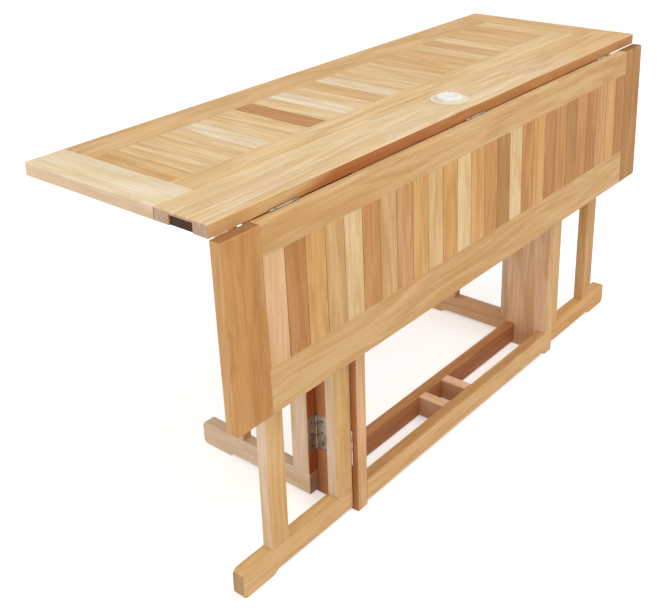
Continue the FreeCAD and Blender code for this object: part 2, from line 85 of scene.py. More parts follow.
def stain(tree, amount, under, over, blend="MIX"):
    """Two colours mixed, or multiplied, by an amount from 0 to 1."""
    node = put(tree, "ShaderNodeMix", {0: amount, 6: under, 7: over}, data_type="RGBA", blend_type=blend)
    return node.outputs[2]


def noise(tree, place, detail, roughness=0.5, swirl=0.0):
    """Soft noise about 0.5, with features of about one unit, bent into swirls where asked."""
    wired = {"Vector": place, "Scale": 1.0, "Detail": detail, "Roughness": roughness, "Distortion": swirl}
    return put(tree, "ShaderNodeTexNoise", wired).outputs[0]


def new_group(name, inputs, outputs):
    """An empty shader node group with named sockets. Gives the tree, its inputs by name and its end."""
    tree = bpy.data.node_groups.new(name, "ShaderNodeTree")
    for socket, (kind, default) in inputs.items():
        made = tree.interface.new_socket(socket, in_out="INPUT", socket_type=kind)
        made.default_value = default
    for socket, kind in outputs.items():
        tree.interface.new_socket(socket, in_out="OUTPUT", socket_type=kind)
    start = tree.nodes.new("NodeGroupInput")
    end = tree.nodes.new("NodeGroupOutput")
    return tree, start.outputs, end.inputs


def use_group(tree, group, wired):
    """A group placed in a material, with its own values."""
    return put(tree, "ShaderNodeGroup", wired, node_tree=group).outputs


FLOAT = "NodeSocketFloat"
VECTOR = "NodeSocketVector"
COLOUR = "NodeSocketColor"

END_FACING = (0.75, 0.9)  # how squarely a face looks along the grain, from side wood to end grain


def make_board_axes():
    """Turns a piece's own place and facing so that X runs along its grain, and marks its end grain."""
    outputs = {"Place": VECTOR, "Facing": VECTOR, "End": FLOAT}
    tree, given, result = new_group("board_axes", {"Lay": (VECTOR, (0, 0, 0))}, outputs)
    own = tree.nodes.new("ShaderNodeTexCoord").outputs
    turned = {}
    for source, name in (("Object", "Place"), ("Normal", "Facing")):
        wired = {"Vector": own[source], "Rotation": given["Lay"]}
        turned[name] = put(tree, "ShaderNodeVectorRotate", wired, rotation_type="EULER_XYZ").outputs[0]
        tree.links.new(turned[name], result[name])
    along = put(tree, "ShaderNodeSeparateXYZ", {0: turned["Facing"]}).outputs["X"]
    tree.links.new(ease(tree, sums(tree, "ABSOLUTE", along), *END_FACING), result["End"])
    return tree


BOARD_SHIFT = 40.0  # how far apart, in the grain's pattern, two boards can be cut
SAW_ANGLE_LEAST = 0.12  # the angle at which the saw meets the rings, in radians
SAW_ANGLE_SPREAD = 1.1
RING_WANDER = 0.085  # how far the rings bend off their plane, in metres: slowly
RING_WAVER = 0.006  # and finely
LATE_WOOD_PEAK = 0.8  # how far through a ring it is darkest
STREAK_STRENGTH = 0.75

# The grain's features, as how many there are to a metre along the board and across it
WANDERS = (1.7, 9.0)
WAVERS = (7.0, 45.0)
CLEAR_STRETCHES = (2.6, 15.0)
CLOUDS = (4.5, 42.0)
STREAKS = (2.4, 130.0)
DRIFTS = (6.0, 26.0)
FIBRES = (6.0, 420.0)
PORES = (48.0, 1500.0)


def make_teak_grain():
    """Growth rings, broad bands, fine fibre and pores of one board, in metres along its axes."""
    inputs = {"Place": (VECTOR, (0, 0, 0)), "Board": (FLOAT, 0.0), "Ring": (FLOAT, 0.012)}
    outputs = {"Rings": FLOAT, "Bands": FLOAT, "Fibre": FLOAT, "Pores": FLOAT, "Drift": FLOAT}
    tree, given, result = new_group("teak_grain", inputs, outputs)
    luck = put(tree, "ShaderNodeTexWhiteNoise", {"W": given["Board"]}, noise_dimensions="1D")
    cut = put(tree, "ShaderNodeSeparateColor", {0: luck.outputs["Color"]}).outputs
    wired = {0: luck.outputs["Color"], "Scale": BOARD_SHIFT}
    shift = put(tree, "ShaderNodeVectorMath", wired, operation="SCALE").outputs[0]
    place = put(tree, "ShaderNodeSeparateXYZ", {0: given["Place"]}).outputs

    def stretched(along, across):
        """The place, scaled for features that are long along the grain, moved for this board."""
        scaled = vectors(tree, "MULTIPLY", given["Place"], (along, across, across))
        return vectors(tree, "ADD", scaled, shift)

    # The saw meets the rings at an angle that differs from board to board.
    angle = sums(tree, "MULTIPLY_ADD", cut[0], SAW_ANGLE_SPREAD, SAW_ANGLE_LEAST)
    level = sums(tree, "MULTIPLY", place["Y"], sums(tree, "SINE", angle))
    depth = sums(tree, "MULTIPLY_ADD", place["Z"], sums(tree, "COSINE", angle), level)
    slow = noise(tree, stretched(*WANDERS), detail=1.5)
    wander = sums(tree, "MULTIPLY_ADD", slow, RING_WANDER, depth)
    fine = noise(tree, stretched(*WAVERS), detail=2.0)
    waver = sums(tree, "MULTIPLY_ADD", fine, RING_WAVER, wander)
    phase = sums(tree, "FRACT", sums(tree, "DIVIDE", waver, given["Ring"]))
    darkens = ease(tree, phase, 0.1, LATE_WOOD_PEAK)
    pales = ease(tree, phase, 1.0, LATE_WOOD_PEAK)
    late = sums(tree, "MULTIPLY", darkens, pales)
    # The rings fade in and out along and across the board.
    clear = noise(tree, stretched(*CLEAR_STRETCHES), detail=1.5)
    clear = ease(tree, clear, 0.40, 0.66)
    tree.links.new(sums(tree, "MULTIPLY", late, clear), result["Rings"])
    # Bands are clouds and, more faintly, streaks.
    cloud = noise(tree, stretched(*CLOUDS), detail=2.5, roughness=0.55, swirl=0.9)
    cloud = ease(tree, cloud, 0.38, 0.70)
    streak = noise(tree, stretched(*STREAKS), detail=2.0, swirl=0.3)
    streak = sums(tree, "MULTIPLY", ease(tree, streak, 0.56, 0.76), STREAK_STRENGTH)
    tree.links.new(sums(tree, "MAXIMUM", cloud, streak), result["Bands"])
    drift = noise(tree, stretched(*DRIFTS), detail=2.0, swirl=0.6)
    tree.links.new(ease(tree, drift, 0.34, 0.66), result["Drift"])
    fibre = noise(tree, stretched(*FIBRES), detail=3.0, roughness=0.6)
    tree.links.new(ease(tree, fibre, 0.3, 0.7), result["Fibre"])
    pore = noise(tree, stretched(*PORES), detail=1.0)
    tree.links.new(ease(tree, pore, 0.66, 0.76), result["Pores"])
    return tree


EDGE_BEND = (0.995, 0.86)  # cosine between the flat and the softened normal, from face to edge


def make_eased_edges():
    """The sanded round of an edge: a softened normal, and a mask that is 1 along the edge."""
    outputs = {"Normal": VECTOR, "Edge": FLOAT}
    tree, given, result = new_group("eased_edges", {"Radius": (FLOAT, 0.0012)}, outputs)
    soft = put(tree, "ShaderNodeBevel", {"Radius": given["Radius"]}, samples=6).outputs[0]
    flat = tree.nodes.new("ShaderNodeNewGeometry").outputs["Normal"]
    wired = {0: soft, 1: flat}
    meets = put(tree, "ShaderNodeVectorMath", wired, operation="DOT_PRODUCT").outputs["Value"]
    tree.links.new(soft, result["Normal"])
    tree.links.new(ease(tree, meets, *EDGE_BEND), result["Edge"])
    return tree


# What the grain's parts and the edges do to a tone, as shares of its red, green and blue
DRIFT_YELLOW = (1.0, 0.95, 0.82, 1)
DRIFT_PINK = (1.05, 1.04, 1.04, 1)
LATE_WOOD = (0.84, 0.72, 0.58, 1)
DARK_BAND = (0.76, 0.64, 0.50, 1)
FIBRE_SHADE = (0.92, 0.90, 0.86, 1)
END_SHADE = (0.68, 0.67, 0.82, 1)
# Along the edges the tone is lifted: partly wear, partly a painted highlight.
EDGE_WEAR_AND_HIGHLIGHT = (1.12, 1.13, 1.15, 1)
PORE_TONE = paint(104, 66, 38)
PORE_STRENGTH = 0.4
EDGE_WEAR_AND_HIGHLIGHT_STRENGTH = 0.8

# The roughness of bare wood, what fibres, end grain and rings add to it, and how far fibres and
# pores lie below the surface, as shares of the grain's depth
TEAK_ROUGHNESS = 0.50
FIBRE_ROUGHNESS = 0.12
END_ROUGHNESS = 0.2
RING_ROUGHNESS = 0.06
FIBRE_DEPTH = 0.45
PORE_DEPTH = 0.6


def make_teak_colour():
    """The colour, roughness and relief of oiled teak from its tone and grain."""
    inputs = {
        "Tone": (COLOUR, (0.7, 0.5, 0.3, 1)),
        "Rings": (FLOAT, 0.0),
        "Bands": (FLOAT, 0.0),
        "Fibre": (FLOAT, 0.0),
        "Pores": (FLOAT, 0.0),
        "End": (FLOAT, 0.0),
        "Edge": (FLOAT, 0.0),
        "Figure": (FLOAT, 1.0),
        "Drift": (FLOAT, 0.5),
    }
    outputs = {"Color": COLOUR, "Roughness": FLOAT, "Height": FLOAT}
    tree, given, result = new_group("teak_colour", inputs, outputs)
    hue = stain(tree, given["Drift"], DRIFT_YELLOW, DRIFT_PINK)
    drifted = stain(tree, 1.0, given["Tone"], hue, "MULTIPLY")
    late_wood = stain(tree, 1.0, drifted, LATE_WOOD, "MULTIPLY")
    dark_band = stain(tree, 1.0, drifted, DARK_BAND, "MULTIPLY")
    banded = stain(tree, sums(tree, "MULTIPLY", given["Bands"], given["Figure"]), drifted, dark_band)
    ringed = stain(tree, sums(tree, "MULTIPLY", given["Rings"], given["Figure"]), banded, late_wood)
    fibred = stain(tree, given["Fibre"], ringed, FIBRE_SHADE, "MULTIPLY")
    pored = stain(tree, sums(tree, "MULTIPLY", given["Pores"], PORE_STRENGTH), fibred, PORE_TONE)
    end_grain = stain(tree, 1.0, pored, END_SHADE, "MULTIPLY")
    ended = stain(tree, given["End"], pored, end_grain)
    # Painted highlight and wear lighten the tone along the edges.
    worn_and_highlit = stain(tree, 1.0, ended, EDGE_WEAR_AND_HIGHLIGHT, "MULTIPLY")
    wear_and_highlight = sums(tree, "MULTIPLY", given["Edge"], EDGE_WEAR_AND_HIGHLIGHT_STRENGTH)
    tree.links.new(stain(tree, wear_and_highlight, ended, worn_and_highlit), result["Color"])
    rough = sums(tree, "MULTIPLY_ADD", given["Fibre"], FIBRE_ROUGHNESS, TEAK_ROUGHNESS)
    rough = sums(tree, "MULTIPLY_ADD", given["End"], END_ROUGHNESS, rough)
    rough = sums(tree, "MULTIPLY_ADD", given["Rings"], RING_ROUGHNESS, rough)
    tree.links.new(rough, result["Roughness"])
    relief = sums(tree, "MULTIPLY_ADD", given["Fibre"], -FIBRE_DEPTH, 1.0)
    relief = sums(tree, "MULTIPLY_ADD", given["Pores"], -PORE_DEPTH, relief)
    tree.links.new(relief, result["Height"])
    return tree


board_axes = make_board_axes()
teak_grain = make_teak_grain()
eased_edges = make_eased_edges()
teak_colour = make_teak_colour()

# A board's lay is the turn, in radians, that brings its grain along X and its face up.
# Its number is the seed of its grain, its ring the growth rings' spacing in metres, and its figure
# the strength of rings and bands.
ALONG_TABLE = (0.0, 0.0, 0.0)
SANDED_ROUND = 0.0014  # radius of an edge taken off with sandpaper
GRAIN_DEPTH = 0.0003  # how deep the open grain reaches


def new_wood(name):
    """A material ready for a teak finish: its tree and its shader."""
    material = bpy.data.materials.new(name)
    material.use_nodes = True
    shader = material.node_tree.nodes["Principled BSDF"]
    shader.inputs["Specular IOR Level"].default_value = 0.22
    shader.inputs["Coat Weight"].default_value = 0.02
    shader.inputs["Coat Roughness"].default_value = 0.32
    return material, material.node_tree, shader


SIDE_FACING = (0.8, 0.95)  # how squarely a face looks along an axis, from not counted to counted


def facing_along(tree, axes, axis):
    """A mask that is 1 on the two faces that look along one of the board's axes."""
    part = put(tree, "ShaderNodeSeparateXYZ", {0: axes["Facing"]}).outputs[axis]
    return ease(tree, sums(tree, "ABSOLUTE", part), *SIDE_FACING)


def oiled_teak(name, tone, lay, board, ring, figure, edge_tone=None, edge="Y", soft=SANDED_ROUND):
    """Oiled teak for one board. An edge tone, where given, colours the two faces along one of its axes."""
    material, tree, shader = new_wood(name)
    axes = use_group(tree, board_axes, {"Lay": lay})
    if edge_tone:
        tone = stain(tree, facing_along(tree, axes, edge), tone, edge_tone)
    finish_teak(tree, shader, axes, tone, board, ring, figure, soft)
    return material


def finish_teak(tree, shader, axes, tone, board, ring, figure, soft=SANDED_ROUND):
    """Joins the grain, the colour and the relief to the shader."""
    grain = use_group(tree, teak_grain, {"Place": axes["Place"], "Board": board, "Ring": ring})
    edges = use_group(tree, eased_edges, {"Radius": soft})
    wired = {name: grain[name] for name in ("Rings", "Bands", "Fibre", "Pores", "Drift")}
    wired.update({"Tone": tone, "End": axes["End"], "Edge": edges["Edge"], "Figure": figure})
    surface = use_group(tree, teak_colour, wired)
    tree.links.new(surface["Color"], shader.inputs["Base Color"])
    tree.links.new(surface["Roughness"], shader.inputs["Roughness"])
    wired = {"Height": surface["Height"], "Normal": edges["Normal"]}
    wired.update({"Strength": 0.25, "Distance": GRAIN_DEPTH})
    relief = put(tree, "ShaderNodeBump", wired)
    tree.links.new(relief.outputs[0], shader.inputs["Normal"])


def dress(name, material):
    """Gives a carried-over piece its finish."""
    piece = nodes[name]
    piece.data.materials.clear()
    piece.data.materials.append(material)


# The board's tones, and the stretches of X, in metres, over which one gives way to the next
SAND = paint(234, 210, 172)
HONEY = paint(223, 185, 133)
RUSSET = paint(182, 116, 70)
BROWN = paint(196, 142, 90)
FACE_TO_HONEY = (0.1, 0.62)
EDGE_TO_RUSSET = (-0.58, -0.44)
EDGE_TO_BROWN = (-0.22, 0.02)
BOUNDARY_WAVER = 0.16  # how far a boundary strays along X
BOUNDARY_RAGS = (6.0, 40.0, 90.0)  # how many times to a metre it does so along X, Y and Z
BOARD_NUMBER = 3.0
BOARD_RING = 0.016
BOARD_FIGURE = 0.6


def board_teak():
    """The board's teak: paler at the left end, with heartwood along its sawn edges."""
    material, tree, shader = new_wood("board_teak")
    axes = use_group(tree, board_axes, {"Lay": ALONG_TABLE})
    place = put(tree, "ShaderNodeSeparateXYZ", {0: axes["Place"]}).outputs
    waver = noise(tree, vectors(tree, "MULTIPLY", axes["Place"], BOUNDARY_RAGS), detail=2.0)
    middle = sums(tree, "SUBTRACT", place["X"], BOUNDARY_WAVER / 2)
    along = sums(tree, "MULTIPLY_ADD", waver, BOUNDARY_WAVER, middle)
    face = stain(tree, ease(tree, along, *FACE_TO_HONEY), SAND, HONEY)
    heartwood = stain(tree, ease(tree, along, *EDGE_TO_RUSSET), HONEY, RUSSET)
    edge = stain(tree, ease(tree, along, *EDGE_TO_BROWN), heartwood, BROWN)
    tone = stain(tree, facing_along(tree, axes, "Y"), face, edge)
    finish_teak(tree, shader, axes, tone, BOARD_NUMBER, BOARD_RING, BOARD_FIGURE)
    return material


dress("centre_board", board_teak())

# ---------------------------------------------------------------- board bearers
# A hardwood bearer is let into the underside of each overhang and glued there.
# Its end shows in the end of the board, a little back from it; its dark tone is painted shade of that
# slot.

# Painted shade: the bearer's dark tone stands for the shade in its slot.
BEARER_SHADE_TONE = paint(92, 66, 42)
BEARER_RING = 0.004
BEARER_FIGURE = 0.8
for side, board in (("left", 11.0), ("right", 12.0)):
    wood = oiled_teak(f"{side}_bearer_shade_wood", BEARER_SHADE_TONE, ALONG_TABLE, board, BEARER_RING, BEARER_FIGURE)
    dress(f"{side}_board_bearer", wood)

# ---------------------------------------------------------------- leaf frames
# Each leaf is a frame of four solid rails, mortised and tenoned together and sanded flush.
# The end rails run the full width, and the long rails between them carry the slats.

ACROSS_TABLE = (0.0, 0.0, -math.pi / 2)
HANG_TILT = math.radians(1.0)  # how far a hanging leaf leans out from plumb
UP_LAYS = {"along": ALONG_TABLE, "across": ACROSS_TABLE}
HUNG_TURN = HANG_TILT - math.pi / 2
HUNG_LAYS = {"along": (-HUNG_TURN, 0.0, 0.0), "across": (-HUNG_TURN, 0.0, -math.pi / 2)}
LEAF_LAYS = {"back": UP_LAYS, "front": HUNG_LAYS}

CREAM = paint(238, 223, 194)
SAPWOOD = paint(227, 203, 178)
STRAW = paint(232, 203, 158)
WHEAT = paint(217, 178, 127)
TAN = paint(209, 165, 115)
AMBER = paint(204, 151, 94)
UMBER = paint(186, 138, 82)
RAIL_RING = 0.015

# Each rail's lay, tone, board number, strength of figure, and the tone of its side faces
LEAF_RAILS = {
    "back": {
        "left_end_rail": ("across", CREAM, 21.0, 0.4, SAPWOOD),
        "right_end_rail": ("across", HONEY, 22.0, 0.5, HONEY),
        "inner_rail": ("along", STRAW, 23.0, 0.7, HONEY),
        "outer_rail": ("along", HONEY, 24.0, 0.7, TAN),
    },
    "front": {
        "left_end_rail": ("across", AMBER, 27.0, 0.8, TAN),
        "right_end_rail": ("across", UMBER, 28.0, 0.7, UMBER),
        "inner_rail": ("along", WHEAT, 29.0, 0.8, STRAW),
        "outer_rail": ("along", WHEAT, 30.0, 0.7, HONEY),
    },
}
for leaf, rails in LEAF_RAILS.items():
    for rail, (lay, tone, board, figure, edge_tone) in rails.items():
        laid = LEAF_LAYS[leaf][lay]
        wood = oiled_teak(f"{leaf}_{rail}_teak", tone, laid, board, RAIL_RING, figure, edge_tone)
        dress(f"{leaf}_leaf_{rail}", wood)

# ---------------------------------------------------------------- slats
# Twenty-six short slats fill each leaf, tongued into the long rails and left loose to move.
# They are cut from whatever teak is to hand, so each differs in tone and grain.

SLAT_COUNT = 26
slat_low, slat_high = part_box("back_leaf_slats")
SLAT_PITCH = (slat_high[0] - slat_low[0]) / SLAT_COUNT

BLUSH = paint(228, 188, 148)
GOLDEN = paint(219, 172, 112)

# The slats' tones from left to right, and the board number of each leaf's first slat
SLAT_TONES = {
    "front": [
        BLUSH, BROWN, GOLDEN, WHEAT, STRAW, AMBER, WHEAT, TAN, GOLDEN, HONEY, GOLDEN, STRAW, GOLDEN,
        AMBER, UMBER, STRAW, AMBER, GOLDEN, BROWN, AMBER, UMBER, AMBER, BROWN, TAN, GOLDEN, UMBER,
    ],
    "back": [
        HONEY, STRAW, STRAW, STRAW, CREAM, STRAW, STRAW, BROWN, STRAW, CREAM, STRAW, HONEY, CREAM,
        STRAW, STRAW, STRAW, HONEY, HONEY, HONEY, STRAW, WHEAT, STRAW, HONEY, HONEY, HONEY, STRAW,
    ],
}

JOINT_REACH = (0.468, 0.494)  # from a slat's middle, as a share of the pitch, where its joint darkens


def make_slat_number():
    """Counts the slats along the table, and marks the dark line where two meet."""
    inputs = {"Start": (FLOAT, 0.0), "Pitch": (FLOAT, 0.05)}
    tree, given, result = new_group("slat_number", inputs, {"Number": FLOAT, "Joint": FLOAT})
    own = tree.nodes.new("ShaderNodeTexCoord").outputs["Object"]
    along = put(tree, "ShaderNodeSeparateXYZ", {0: own}).outputs["X"]
    count = sums(tree, "DIVIDE", sums(tree, "SUBTRACT", along, given["Start"]), given["Pitch"])
    tree.links.new(sums(tree, "FLOOR", count), result["Number"])
    off_middle = sums(tree, "ABSOLUTE", sums(tree, "SUBTRACT", sums(tree, "FRACT", count), 0.5))
    tree.links.new(ease(tree, off_middle, *JOINT_REACH), result["Joint"])
    return tree


slat_number = make_slat_number()
FIRST_SLAT_BOARD = {"front": 50.0, "back": 90.0}
# The dark line along each joint is partly dust and partly painted shade in the gap between two slats.
JOINT_SHADE = (0.50, 0.38, 0.27, 1)
JOINT_DARK = {"front": 0.55, "back": 0.35}
SLAT_RING = 0.014
SLAT_FIGURE = 0.7


def slat_teak(leaf):
    """Teak whose tone and grain change from slat to slat."""
    material, tree, shader = new_wood(f"{leaf}_slat_teak")
    count = use_group(tree, slat_number, {"Start": slat_low[0], "Pitch": SLAT_PITCH})
    middle = sums(tree, "ADD", count["Number"], 0.5)
    tones = put(tree, "ShaderNodeValToRGB", {0: sums(tree, "DIVIDE", middle, float(SLAT_COUNT))})
    ramp = tones.color_ramp
    ramp.interpolation = "CONSTANT"
    ramp.elements.remove(ramp.elements[1])
    ramp.elements[0].color = SLAT_TONES[leaf][0]
    for number in range(1, SLAT_COUNT):
        ramp.elements.new(number / SLAT_COUNT).color = SLAT_TONES[leaf][number]
    # Painted shade, with some dust, darkens each slat along its joints.
    shaded = stain(tree, 1.0, tones.outputs[0], JOINT_SHADE, "MULTIPLY")
    darkened = sums(tree, "MULTIPLY", count["Joint"], JOINT_DARK[leaf])
    tone = stain(tree, darkened, tones.outputs[0], shaded)
    axes = use_group(tree, board_axes, {"Lay": LEAF_LAYS[leaf]["across"]})
    board = sums(tree, "ADD", count["Number"], FIRST_SLAT_BOARD[leaf])
    finish_teak(tree, shader, axes, tone, board, SLAT_RING, SLAT_FIGURE)
    return material


for leaf in SLAT_TONES:
    dress(f"{leaf}_leaf_slats", slat_teak(leaf))

# ---------------------------------------------------------------- centre frame
# Two upright planks stand under the board, joined by a pair of rails at the top and a pair below.
# Two blocks between the lower rails keep the parasol pole upright.

UPRIGHT = (0.0, math.pi / 2, 0.0)
CHESTNUT = paint(190, 131, 90)
# ROSE is a pink teak tone, made paler in part as painted light to lift the shaded faces.
ROSE = paint(242, 205, 172)
FRAME_RING = 0.014

# Each piece's lay, tone, board number, strength of figure, and the tone of its side faces
FRAME_TEAK = {
    "left_end_plank": (UPRIGHT, CHESTNUT, 61.0, 0.7, BLUSH),
    "right_end_plank": (UPRIGHT, ROSE, 62.0, 0.8, HONEY),
    "front_lower_rail": (ALONG_TABLE, TAN, 63.0, 0.7, HONEY),
    "back_lower_rail": (ALONG_TABLE, BROWN, 64.0, 1.0, CHESTNUT),
    "front_top_rail": (ALONG_TABLE, TAN, 65.0, 0.7, None),
    "back_top_rail": (ALONG_TABLE, TAN, 66.0, 0.7, None),
    "left_pole_block": (ACROSS_TABLE, ROSE, 67.0, 0.5, BLUSH),
    "right_pole_block": (ACROSS_TABLE, ROSE, 68.0, 0.5, BLUSH),
}
for name, (lay, tone, board, figure, edge_tone) in FRAME_TEAK.items():
    dress(name, oiled_teak(f"{name}_teak", tone, lay, board, FRAME_RING, figure, edge_tone))

# ---------------------------------------------------------------- gates
# Each gate is a post and a leg between a foot and a top rail, and swings out to carry a leaf.
# The back pair stands open under the raised leaf, and the front pair is closed.

# Tones of each gate's post, leg, foot and top rail
GATE_TONES = {
    "front_left": (HONEY, HONEY, HONEY, TAN),
    "front_right": (HONEY, TAN, GOLDEN, TAN),
    "back_left": (RUSSET, BLUSH, SAPWOOD, HONEY),
    "back_right": (AMBER, TAN, BLUSH, HONEY),
}
# Paler faces along X for posts and legs: partly sapwood, partly painted light and sheen from the left.
UPRIGHT_SAPWOOD_AND_SIDE_LIGHT = {
    "front_left": SAPWOOD,
    "front_right": HONEY,
    "back_left": SAPWOOD,
    "back_right": SAPWOOD,
}
FIRST_GATE_BOARD = 70.0
GATE_RING = 0.014
GATE_FIGURE = 0.6
FOOT_ROUND = 0.0048  # the feet are rounded more than the other pieces
for number, (gate, tones) in enumerate(GATE_TONES.items()):
    lying = ALONG_TABLE if gate.startswith("front") else ACROSS_TABLE
    lays = {"post": UPRIGHT, "leg": UPRIGHT, "foot": lying, "top_rail": lying}
    for (piece, lay), tone in zip(lays.items(), tones):
        name = f"{gate}_gate_{piece}"
        board = FIRST_GATE_BOARD + len(lays) * number + list(lays).index(piece)
        # Posts and legs take a paler tone on their faces along X: partly sapwood, partly painted side
        # light.
        edge_tone = UPRIGHT_SAPWOOD_AND_SIDE_LIGHT[gate] if lay is UPRIGHT else None
        soft = FOOT_ROUND if piece == "foot" else SANDED_ROUND
        wood = oiled_teak(f"{name}_teak", tone, lay, board, GATE_RING, GATE_FIGURE, edge_tone, "Z", soft)
        dress(name, wood)

# ---------------------------------------------------------------- hinges
# Butt hinges of zinc-plated steel, let in flush with the wood, with a pin through their knuckles.
# The plating is dull and finely brushed, and clouds of a darker film lie on it.

HINGE_CLEAN = paint(188, 176, 162)
HINGE_TARNISHED = paint(140, 126, 112)
BRUSH_MARKS = (900.0, 900.0, 60.0)  # to a metre along X, Y and Z, so that they run upright
TARNISH_CLOUDS = (70.0, 70.0, 70.0)
PLATE_ROUND = 0.0004
BRUSH_DEPTH = 0.0002
STEEL_ROUGHNESS = 0.25
BRUSH_ROUGHNESS = 0.25  # what the brushing and the tarnish add to it
TARNISH_ROUGHNESS = 0.12


def make_brushed_plate():
    """Fine upright brushing, and slow clouds of tarnish."""
    tree, _, result = new_group("brushed_plate", {}, {"Brush": FLOAT, "Tarnish": FLOAT})
    own = tree.nodes.new("ShaderNodeTexCoord").outputs["Object"]
    brush = noise(tree, vectors(tree, "MULTIPLY", own, BRUSH_MARKS), detail=2.0)
    cloud = noise(tree, vectors(tree, "MULTIPLY", own, TARNISH_CLOUDS), detail=3.0)
    tree.links.new(brush, result["Brush"])
    tree.links.new(ease(tree, cloud, 0.42, 0.68), result["Tarnish"])
    return tree


brushed_plate = make_brushed_plate()


def plated_steel(name, clean, tarnished):
    """Plated steel, clean in one colour and tarnished to another."""
    material = bpy.data.materials.new(name)
    material.use_nodes = True
    tree = material.node_tree
    shader = tree.nodes["Principled BSDF"]
    shader.inputs["Metallic"].default_value = 0.9
    plate = use_group(tree, brushed_plate, {})
    edges = use_group(tree, eased_edges, {"Radius": PLATE_ROUND})
    colour = stain(tree, plate["Tarnish"], clean, tarnished)
    tree.links.new(colour, shader.inputs["Base Color"])
    rough = sums(tree, "MULTIPLY_ADD", plate["Brush"], BRUSH_ROUGHNESS, STEEL_ROUGHNESS)
    rough = sums(tree, "MULTIPLY_ADD", plate["Tarnish"], TARNISH_ROUGHNESS, rough)
    tree.links.new(rough, shader.inputs["Roughness"])
    wired = {"Height": plate["Brush"], "Normal": edges["Normal"]}
    wired.update({"Strength": 0.15, "Distance": BRUSH_DEPTH})
    relief = put(tree, "ShaderNodeBump", wired)
    tree.links.new(relief.outputs[0], shader.inputs["Normal"])
    return material


hinge_steel = plated_steel("hinge_steel", HINGE_CLEAN, HINGE_TARNISHED)
for name in nodes:
    if name.endswith(("hinges", "hinge_plates")):
        dress(name, hinge_steel)

# ---------------------------------------------------------------- hinge screws
# Every hinge plate is held by three countersunk screws with crossed slots.
# Their heads stand a hair proud of the plate and have darkened in the weather.

HEAD_RADIUS = 0.0031
HEAD_SIDES = 20
BROW_SHARE = 0.9  # of the head's radius, where its top begins
SLOT_REACH = 0.0019
SLOT_HALF = 0.00045
SLOT_DEPTH = 0.0012
SCREW_TURN = 1.3  # in radians, from one screw's slots to the next one's

SCREW_CLEAN = paint(96, 88, 82)
SCREW_TARNISHED = paint(60, 53, 48)
screw_steel = plated_steel("screw_steel", SCREW_CLEAN, SCREW_TARNISHED)


def screw_head(mesh, place, facing, rise, turn):
    """Adds one head: a low disc, tapered at its rim, with a cross cut into it."""
    up = facing.normalized()
    side = up.orthogonal().normalized()
    basis = Matrix((side, up.cross(side), up)).transposed() @ Matrix.Rotation(turn, 3, "Z")

    def ring(points, height):
        return [mesh.verts.new(place + basis @ Vector((x, y, height))) for x, y in points]

    angles = [2 * math.pi * number / HEAD_SIDES for number in range(HEAD_SIDES)]
    rim = [(HEAD_RADIUS * math.cos(a), HEAD_RADIUS * math.sin(a)) for a in angles]
    r, h = SLOT_REACH, SLOT_HALF
    cross = [
        (r, -h), (r, h), (h, h), (h, r), (-h, r), (-h, h),
        (-r, h), (-r, -h), (-h, -h), (-h, -r), (h, -r), (h, -h),
    ]
    foot = ring(rim, -rise)
    brow = ring([(BROW_SHARE * x, BROW_SHARE * y) for x, y in rim], rise)
    mouth = ring(cross, rise)
    floor = ring(cross, rise - SLOT_DEPTH)
    for lower, upper in ((foot, brow), (floor, mouth)):
        for number in range(len(lower)):
            after = (number + 1) % len(lower)
            corners = [lower[number], lower[after], upper[after], upper[number]]
            mesh.faces.new(corners if lower is foot else corners[::-1])
    mesh.faces.new(floor)
    loops = [
        mesh.edges.get((outline[number], outline[(number + 1) % len(outline)]))
        for outline in (brow, mouth)
        for number in range(len(outline))
    ]
    bmesh.ops.triangle_fill(mesh, use_beauty=True, edges=loops)


def screws(name, body, heads, rise):
    """One object with the heads of a set of plates."""
    mesh = bmesh.new()
    for number, (place, facing) in enumerate(heads):
        screw_head(mesh, Vector(place), Vector(facing), rise, SCREW_TURN * number)
    bmesh.ops.recalc_face_normals(mesh, faces=mesh.faces)
    data = bpy.data.meshes.new(name)
    mesh.to_mesh(data)
    mesh.free()
    piece = bpy.data.objects.new(name, data)
    bpy.context.scene.collection.objects.link(piece)
    data.materials.append(screw_steel)
    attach(piece, body)


# Gate hinges: three screws up each plate, on the plank and on the gate's post
GATE_PLATE_HALF = 0.04  # half its height
GATE_PLATE_MIDDLE = 0.0137  # from the pin across to the line of screws
GATE_GAP_HALF = 0.001  # from the pin out to the plate's face
GATE_SCREW_STEP = 0.027
GATE_HEAD_RISE = 0.0004
gate_pins = {joint["child"]: joint["pos_m"] for joint in frame["joints"] if "gate" in joint["name"]}


def plate_heights(node):
    """The middles of the lower and the upper plates in a node, from its box."""
    low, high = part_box(node)
    return low[2] + GATE_PLATE_HALF, high[2] - GATE_PLATE_HALF


